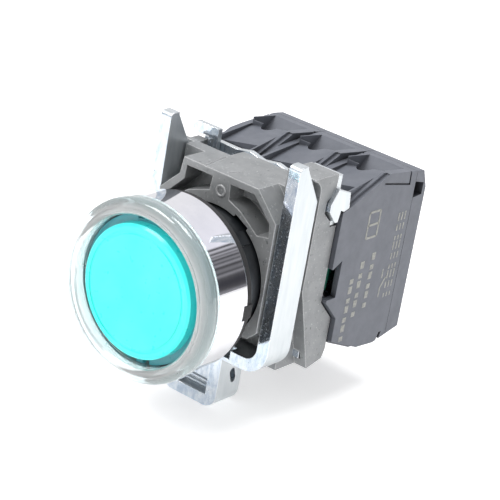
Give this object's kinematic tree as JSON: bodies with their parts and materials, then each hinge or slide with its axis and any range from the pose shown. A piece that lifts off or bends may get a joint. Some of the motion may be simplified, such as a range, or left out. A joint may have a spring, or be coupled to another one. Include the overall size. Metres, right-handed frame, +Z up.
{
  "type": "illuminated panel push button",
  "caption": "Round illuminated push button on a panel collar with a bent steel clamp, two contact blocks and a lamp module.",
  "frame": {"origin": "on the button axis, at the rear rim of the bezel, where the gasket meets it", "axes": "+Y along the barrel from the lens to the wiring side, +X to the right seen from the front, +Z up"},
  "size_m": [0.0306, 0.0541, 0.0456],
  "materials": {
    "black_plastic": "moulded, fine satin",
    "brass": "stamped strip",
    "chrome": "polished chrome plate",
    "circuit_board": "solder mask",
    "clear_plastic": "clear moulded plastic, polished",
    "cyan_lens": "translucent tinted plastic, satin front",
    "green_plastic": "moulded",
    "grey_plastic": "moulded, fine texture",
    "lamp_resin": "moulded resin",
    "red_plastic": "moulded",
    "rubber": "soft matt",
    "silver_contact": "silver-faced strip",
    "spring_steel": "drawn wire",
    "white_plastic": "translucent white, satin",
    "zamak": "raw die casting, matt with worn edges",
    "zinc_steel": "bright zinc plate"
  },
  "bodies": {
    "base": {"chrome_bezel": "chrome", "clear_ring": "clear_plastic", "collar_body": "zamak", "head_barrel": "black_plastic", "lamp": "lamp_resin", "lamp_circuit_board": "circuit_board", "lamp_fixed_contacts": "brass", "lamp_housing": "grey_plastic", "lamp_rear_cover": "grey_plastic", "lamp_resistors": "black_plastic", "left_fixed_contacts": "brass", "left_housing": "grey_plastic", "left_rear_cover": "grey_plastic", "panel_gasket": "rubber", "plunger_seal": "rubber", "retaining_plate": "zinc_steel", "right_fixed_contacts": "brass", "right_housing": "grey_plastic", "right_rear_cover": "grey_plastic"},
    "button": {"lens_cap": "cyan_lens", "lens_carrier": "white_plastic", "retaining_clip": "spring_steel", "return_spring": "spring_steel"},
    "right_plunger": {"right_plunger": "green_plastic", "right_plunger_spring": "spring_steel"},
    "left_plunger": {"left_plunger": "red_plastic", "left_plunger_spring": "spring_steel"},
    "right_bridge": {"right_contact_bridge": "silver_contact"},
    "left_bridge": {"left_contact_bridge": "silver_contact"},
    "locking_lever": {"locking_lever": "zinc_steel"},
    "clamp": {"clamp_bracket": "zinc_steel", "pressure_block": "zinc_steel"},
    "clamp_screw": {"clamp_screw": "zinc_steel"},
    "right_upper_clamp": {"right_upper_clamp_plate": "zinc_steel"},
    "right_upper_screw": {"right_upper_terminal_screw": "zinc_steel"},
    "right_lower_clamp": {"right_lower_clamp_plate": "zinc_steel"},
    "right_lower_screw": {"right_lower_terminal_screw": "zinc_steel"},
    "lamp_upper_clamp": {"lamp_upper_clamp_plate": "zinc_steel"},
    "lamp_upper_screw": {"lamp_upper_terminal_screw": "zinc_steel"},
    "lamp_lower_clamp": {"lamp_lower_clamp_plate": "zinc_steel"},
    "lamp_lower_screw": {"lamp_lower_terminal_screw": "zinc_steel"},
    "left_upper_clamp": {"left_upper_clamp_plate": "zinc_steel"},
    "left_upper_screw": {"left_upper_terminal_screw": "zinc_steel"},
    "left_lower_clamp": {"left_lower_clamp_plate": "zinc_steel"},
    "left_lower_screw": {"left_lower_terminal_screw": "zinc_steel"}
  },
  "joints": [
    {"name": "button_press", "type": "slide", "parent": "base", "child": "button", "axis": [0, 1, 0], "range_m": [0, 0.0043], "stiffness_N_per_m": 1700, "deforming": ["return_spring"]},
    {"name": "right_plunger_push", "type": "slide", "parent": "base", "child": "right_plunger", "axis": [0, 1, 0], "range_m": [0, 0.0043], "deforming": ["right_plunger_spring"]},
    {"name": "left_plunger_push", "type": "slide", "parent": "base", "child": "left_plunger", "axis": [0, 1, 0], "range_m": [0, 0.0043], "deforming": ["left_plunger_spring"]},
    {"name": "right_bridge_close", "type": "slide", "parent": "base", "child": "right_bridge", "axis": [0, 1, 0], "range_m": [0, 0.00267]},
    {"name": "left_bridge_open", "type": "slide", "parent": "base", "child": "left_bridge", "axis": [0, 1, 0], "range_m": [0, 0.0028]},
    {"name": "lever_turn", "type": "hinge", "parent": "base", "child": "locking_lever", "pos_m": [0, 0.0178, 0], "axis": [0, 1, 0], "range_deg": [0, 12]},
    {"name": "clamp_slide", "type": "slide", "parent": "base", "child": "clamp", "axis": [0, -1, 0], "range_m": [0, 0.0058]},
    {"name": "clamp_screw_turn", "type": "hinge", "parent": "clamp", "child": "clamp_screw", "pos_m": [0, 0.0184, -0.0168], "axis": [0, -1, 0], "range_deg": [0, 2983]},
    {"name": "right_upper_clamp_travel", "type": "slide", "parent": "base", "child": "right_upper_clamp", "axis": [0, -0.7071, -0.7071], "range_m": [0, 0.0012]},
    {"name": "right_upper_screw_turn", "type": "hinge", "parent": "right_upper_clamp", "child": "right_upper_screw", "pos_m": [0.0102, 0.02962, 0.01172], "axis": [0, -0.7071, -0.7071], "range_deg": [0, 865]},
    {"name": "right_lower_clamp_travel", "type": "slide", "parent": "base", "child": "right_lower_clamp", "axis": [0, -0.7071, 0.7071], "range_m": [0, 0.0012]},
    {"name": "right_lower_screw_turn", "type": "hinge", "parent": "right_lower_clamp", "child": "right_lower_screw", "pos_m": [0.0102, 0.02962, -0.00852], "axis": [0, -0.7071, 0.7071], "range_deg": [0, 865]},
    {"name": "lamp_upper_clamp_travel", "type": "slide", "parent": "base", "child": "lamp_upper_clamp", "axis": [0, -0.7071, -0.7071], "range_m": [0, 0.0012]},
    {"name": "lamp_upper_screw_turn", "type": "hinge", "parent": "lamp_upper_clamp", "child": "lamp_upper_screw", "pos_m": [0, 0.02962, 0.01172], "axis": [0, -0.7071, -0.7071], "range_deg": [0, 865]},
    {"name": "lamp_lower_clamp_travel", "type": "slide", "parent": "base", "child": "lamp_lower_clamp", "axis": [0, -0.7071, 0.7071], "range_m": [0, 0.0012]},
    {"name": "lamp_lower_screw_turn", "type": "hinge", "parent": "lamp_lower_clamp", "child": "lamp_lower_screw", "pos_m": [0, 0.02962, -0.00852], "axis": [0, -0.7071, 0.7071], "range_deg": [0, 865]},
    {"name": "left_upper_clamp_travel", "type": "slide", "parent": "base", "child": "left_upper_clamp", "axis": [0, -0.7071, -0.7071], "range_m": [0, 0.0012]},
    {"name": "left_upper_screw_turn", "type": "hinge", "parent": "left_upper_clamp", "child": "left_upper_screw", "pos_m": [-0.0102, 0.02962, 0.01172], "axis": [0, -0.7071, -0.7071], "range_deg": [0, 865]},
    {"name": "left_lower_clamp_travel", "type": "slide", "parent": "base", "child": "left_lower_clamp", "axis": [0, -0.7071, 0.7071], "range_m": [0, 0.0012]},
    {"name": "left_lower_screw_turn", "type": "hinge", "parent": "left_lower_clamp", "child": "left_lower_screw", "pos_m": [-0.0102, 0.02962, -0.00852], "axis": [0, -0.7071, 0.7071], "range_deg": [0, 865]}
  ],
  "couplings": [
    {"joint": "right_plunger_push", "follows": "button_press", "ratio": 1},
    {"joint": "left_plunger_push", "follows": "button_press", "ratio": 1},
    {"joint": "right_bridge_close", "follows": "button_press", "ratio": 0.62},
    {"joint": "left_bridge_open", "follows": "button_press", "ratio": 0.65},
    {"joint": "clamp_screw_turn", "follows": "clamp_slide", "rad_per_m": 8976},
    {"joint": "right_upper_screw_turn", "follows": "right_upper_clamp_travel", "rad_per_m": 12566},
    {"joint": "right_lower_screw_turn", "follows": "right_lower_clamp_travel", "rad_per_m": 12566},
    {"joint": "lamp_upper_screw_turn", "follows": "lamp_upper_clamp_travel", "rad_per_m": 12566},
    {"joint": "lamp_lower_screw_turn", "follows": "lamp_lower_clamp_travel", "rad_per_m": 12566},
    {"joint": "left_upper_screw_turn", "follows": "left_upper_clamp_travel", "rad_per_m": 12566},
    {"joint": "left_lower_screw_turn", "follows": "left_lower_clamp_travel", "rad_per_m": 12566}
  ]
}
